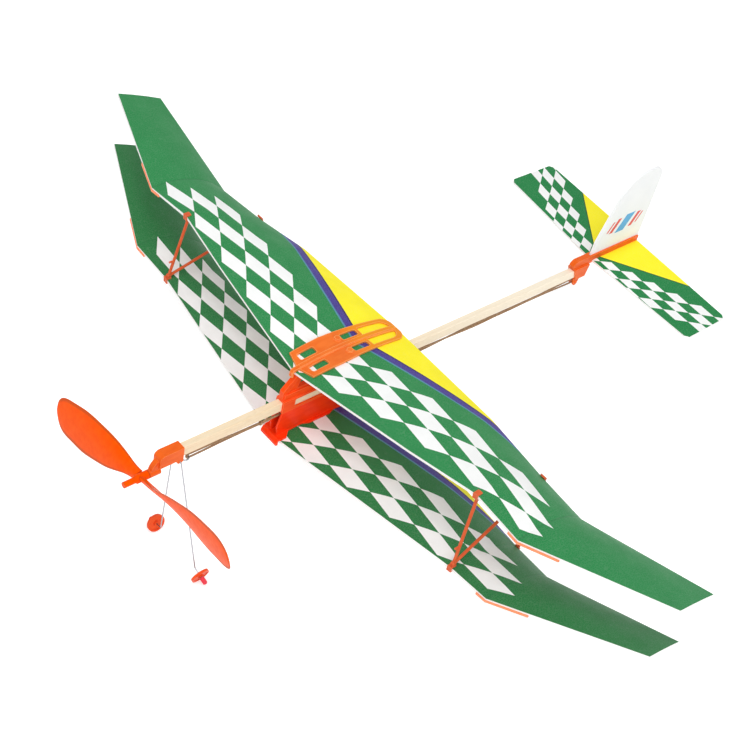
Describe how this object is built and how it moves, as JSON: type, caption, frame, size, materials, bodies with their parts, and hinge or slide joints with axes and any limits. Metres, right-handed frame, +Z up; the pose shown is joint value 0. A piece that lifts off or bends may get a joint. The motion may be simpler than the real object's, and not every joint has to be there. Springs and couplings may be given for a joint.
{
  "type": "rubber band powered model plane",
  "caption": "Foam biplane on a wooden stick with a plastic propeller turned by a wound rubber band, wire landing gear and a cross tail.",
  "frame": {"origin": "front end of the propeller's nose pin, on the thrust line", "axes": "+X to the port wing tip, +Y aft along the stick and the rubber, +Z up; the wings' span is the longest extent"},
  "size_m": [0.44, 0.3815, 0.1499],
  "materials": {
    "birch_stick": "matte",
    "orange_plastic": "satin",
    "propeller_plastic": "gloss",
    "wheel_plastic": "satin",
    "retainer_plastic": "satin",
    "music_wire": "satin",
    "rubber_band": "matte",
    "printed_foam": "matte",
    "fin_foam": "matte"
  },
  "bodies": {
    "airframe": {"fuselage_stick": "birch_stick", "nose_bearing": "orange_plastic", "tail_mount": "orange_plastic", "horizontal_stabilizer": "printed_foam", "vertical_fin": "fin_foam", "rubber_motor": "rubber_band", "landing_gear_wire": "music_wire", "wheel_retainer_port": "retainer_plastic", "wheel_retainer_starboard": "retainer_plastic"},
    "airscrew": {"propeller": "propeller_plastic", "prop_shaft": "music_wire"},
    "port_wheel": {"wheel_port": "wheel_plastic"},
    "starboard_wheel": {"wheel_starboard": "wheel_plastic"},
    "wing_set": {"upper_wing": "printed_foam", "lower_wing": "printed_foam", "upper_wing_saddle": "orange_plastic", "cabane": "orange_plastic", "lower_wing_holder": "orange_plastic", "lower_wing_keel": "orange_plastic", "interplane_strut_port": "orange_plastic", "interplane_strut_starboard": "orange_plastic", "tip_brace_upper_port": "orange_plastic", "tip_brace_upper_starboard": "orange_plastic", "tip_brace_lower_port": "orange_plastic", "tip_brace_lower_starboard": "orange_plastic"}
  },
  "joints": [
    {"name": "propeller_spin", "type": "hinge", "parent": "airframe", "child": "airscrew", "pos_m": [0, 0.017, 0], "axis": [0, 1, 0], "continuous": true, "deforming": ["rubber_motor"]},
    {"name": "wheel_port_spin", "type": "hinge", "parent": "airframe", "child": "port_wheel", "pos_m": [0.021, 0.03749, -0.07382], "axis": [0.9659, 0.0241, -0.2577], "continuous": true},
    {"name": "wheel_starboard_spin", "type": "hinge", "parent": "airframe", "child": "starboard_wheel", "pos_m": [-0.021, 0.03749, -0.07382], "axis": [0.9659, -0.0241, 0.2577], "continuous": true},
    {"name": "wing_slide", "type": "slide", "parent": "airframe", "child": "wing_set", "axis": [0, 1, 0], "range_m": [-0.012, 0.012]}
  ]
}
